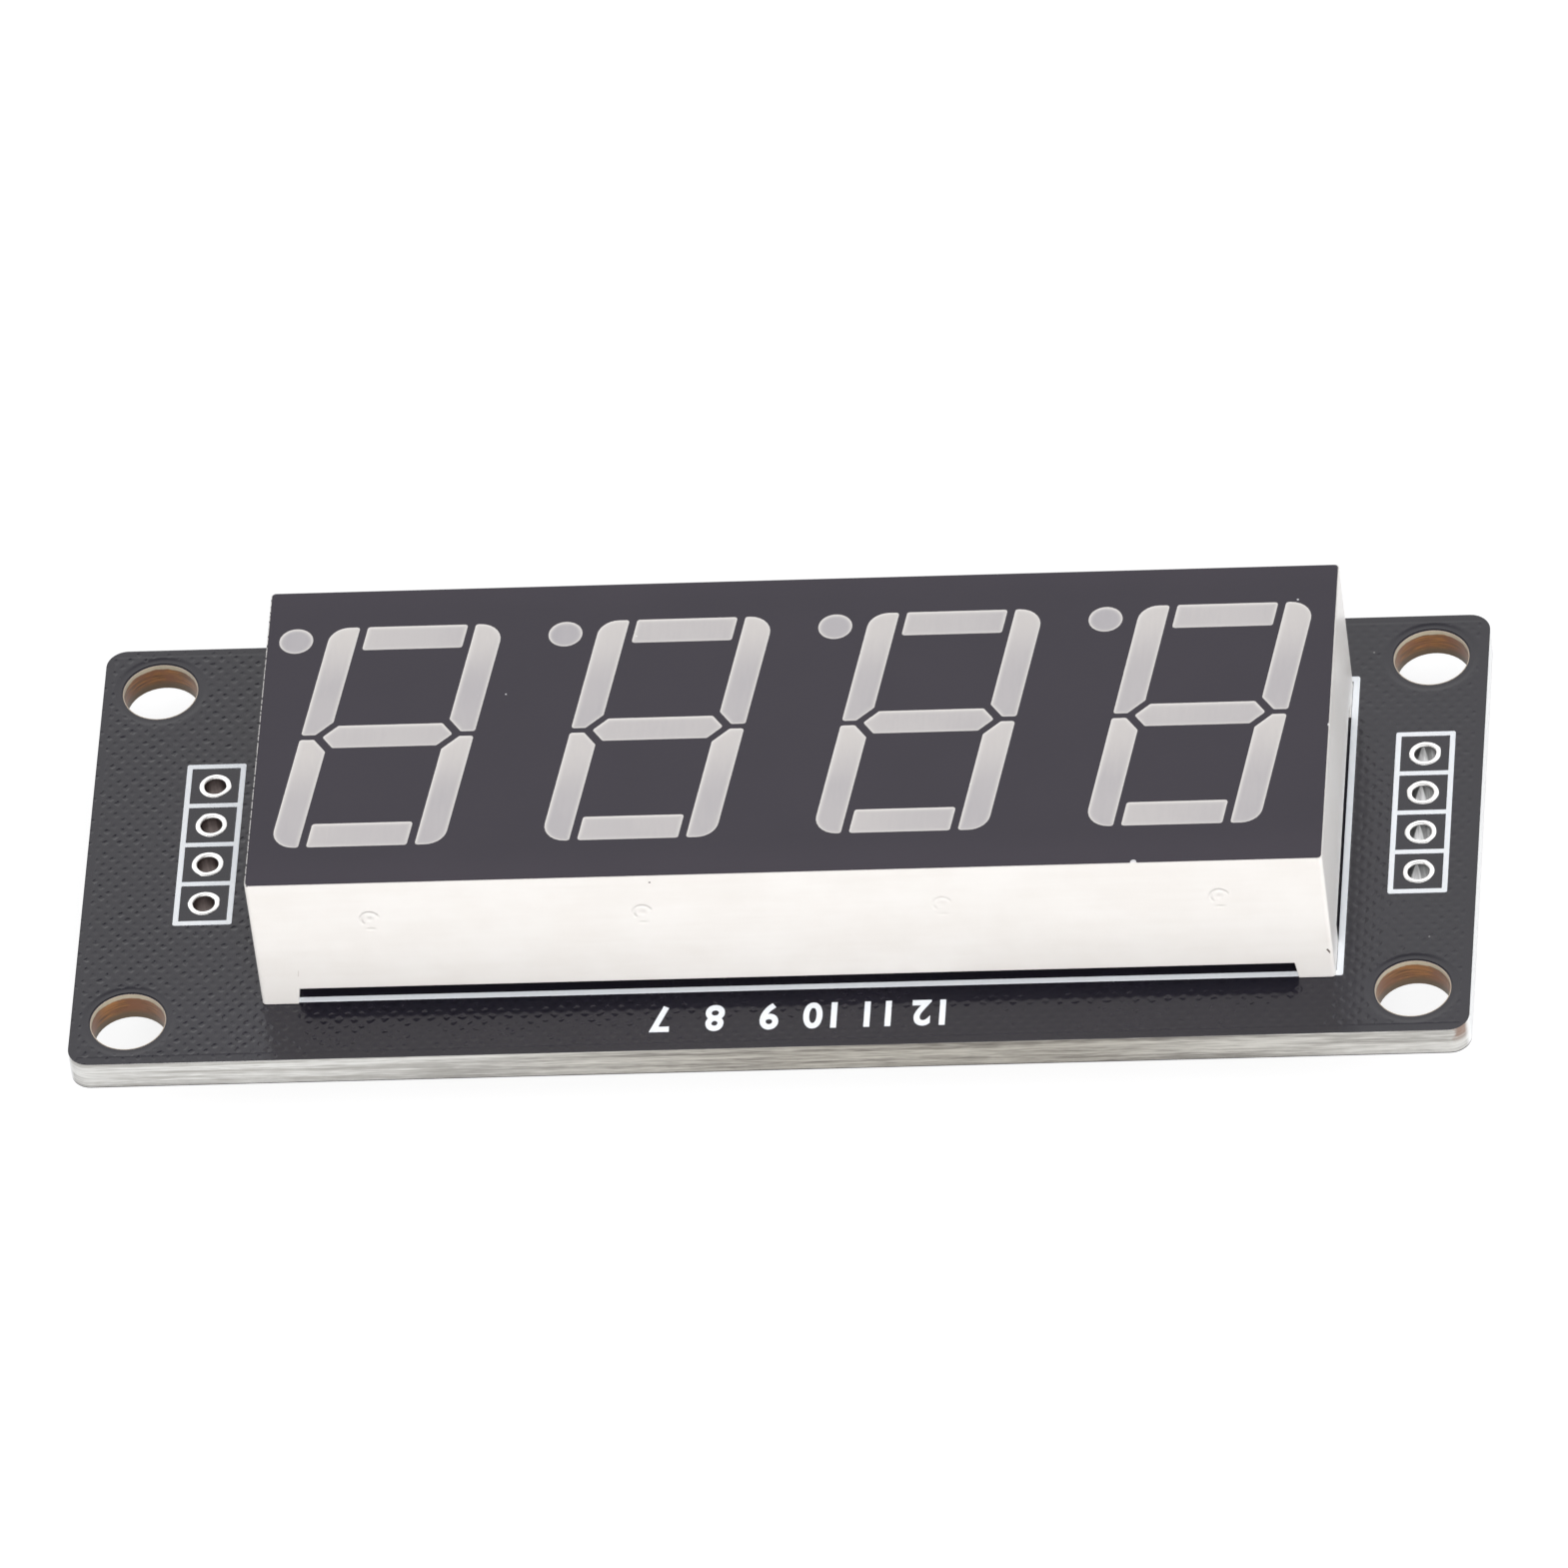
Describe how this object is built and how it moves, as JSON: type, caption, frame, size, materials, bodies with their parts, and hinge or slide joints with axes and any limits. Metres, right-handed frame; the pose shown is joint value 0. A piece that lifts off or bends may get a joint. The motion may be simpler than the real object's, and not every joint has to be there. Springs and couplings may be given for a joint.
{
  "type": "seven segment display module",
  "caption": "Four-digit LED numeric display with slanted seven segment digits and decimal points, soldered to a black driver board with corner mounting holes and header holes at both ends.",
  "frame": {"origin": "middle of the four mounting holes, on the board's underside", "axes": "+X along the digits to the reader's right, +Y towards the tops of the digits, +Z out of the display's face"},
  "size_m": [0.0656, 0.0268, 0.012],
  "materials": {
    "laminate": "milled glass-fibre laminate, pale grey-beige with fine layers",
    "solder_mask": "black solder mask, satin, with the dimples of a hatched copper pour",
    "white_print": "matt white ink",
    "tinned_copper": "bright tinned copper",
    "white_housing": "satin white moulded plastic",
    "face_ink": "matt black ink",
    "segment_epoxy": "milky diffusing epoxy, satin",
    "inner_laminate": "bare laminate",
    "potting_epoxy": "milky potting epoxy",
    "led_die": "small gold-backed die",
    "tinned_pin": "tinned wire",
    "solder": "bright solder",
    "chip_moulding": "matt black moulding compound",
    "ceramic": "fired ceramic",
    "resistor_body": "black glaze"
  },
  "bodies": {
    "root": {"board_laminate": "laminate", "board_print": "white_print", "capacitors": "ceramic", "component_pads": "tinned_copper", "digit_1_decimal_point": "segment_epoxy", "digit_1_led_dies": "led_die", "digit_1_segment_a": "segment_epoxy", "digit_1_segment_b": "segment_epoxy", "digit_1_segment_c": "segment_epoxy", "digit_1_segment_d": "segment_epoxy", "digit_1_segment_e": "segment_epoxy", "digit_1_segment_f": "segment_epoxy", "digit_1_segment_g": "segment_epoxy", "digit_2_decimal_point": "segment_epoxy", "digit_2_led_dies": "led_die", "digit_2_segment_a": "segment_epoxy", "digit_2_segment_b": "segment_epoxy", "digit_2_segment_c": "segment_epoxy", "digit_2_segment_d": "segment_epoxy", "digit_2_segment_e": "segment_epoxy", "digit_2_segment_f": "segment_epoxy", "digit_2_segment_g": "segment_epoxy", "digit_3_decimal_point": "segment_epoxy", "digit_3_led_dies": "led_die", "digit_3_segment_a": "segment_epoxy", "digit_3_segment_b": "segment_epoxy", "digit_3_segment_c": "segment_epoxy", "digit_3_segment_d": "segment_epoxy", "digit_3_segment_e": "segment_epoxy", "digit_3_segment_f": "segment_epoxy", "digit_3_segment_g": "segment_epoxy", "digit_4_decimal_point": "segment_epoxy", "digit_4_led_dies": "led_die", "digit_4_segment_a": "segment_epoxy", "digit_4_segment_b": "segment_epoxy", "digit_4_segment_c": "segment_epoxy", "digit_4_segment_d": "segment_epoxy", "digit_4_segment_e": "segment_epoxy", "digit_4_segment_f": "segment_epoxy", "digit_4_segment_g": "segment_epoxy", "display_housing": "white_housing", "display_pin_pads": "tinned_copper", "display_pins": "tinned_pin", "display_potting": "potting_epoxy", "driver_chip": "chip_moulding", "driver_leads": "tinned_pin", "end_caps": "tinned_copper", "face_print": "face_ink", "header_pads_left": "tinned_copper", "header_pads_right": "tinned_copper", "inner_board": "inner_laminate", "pin_solder": "solder", "resistors": "resistor_body", "solder_mask_bottom": "solder_mask", "solder_mask_top": "solder_mask"}
  },
  "joints": []
}
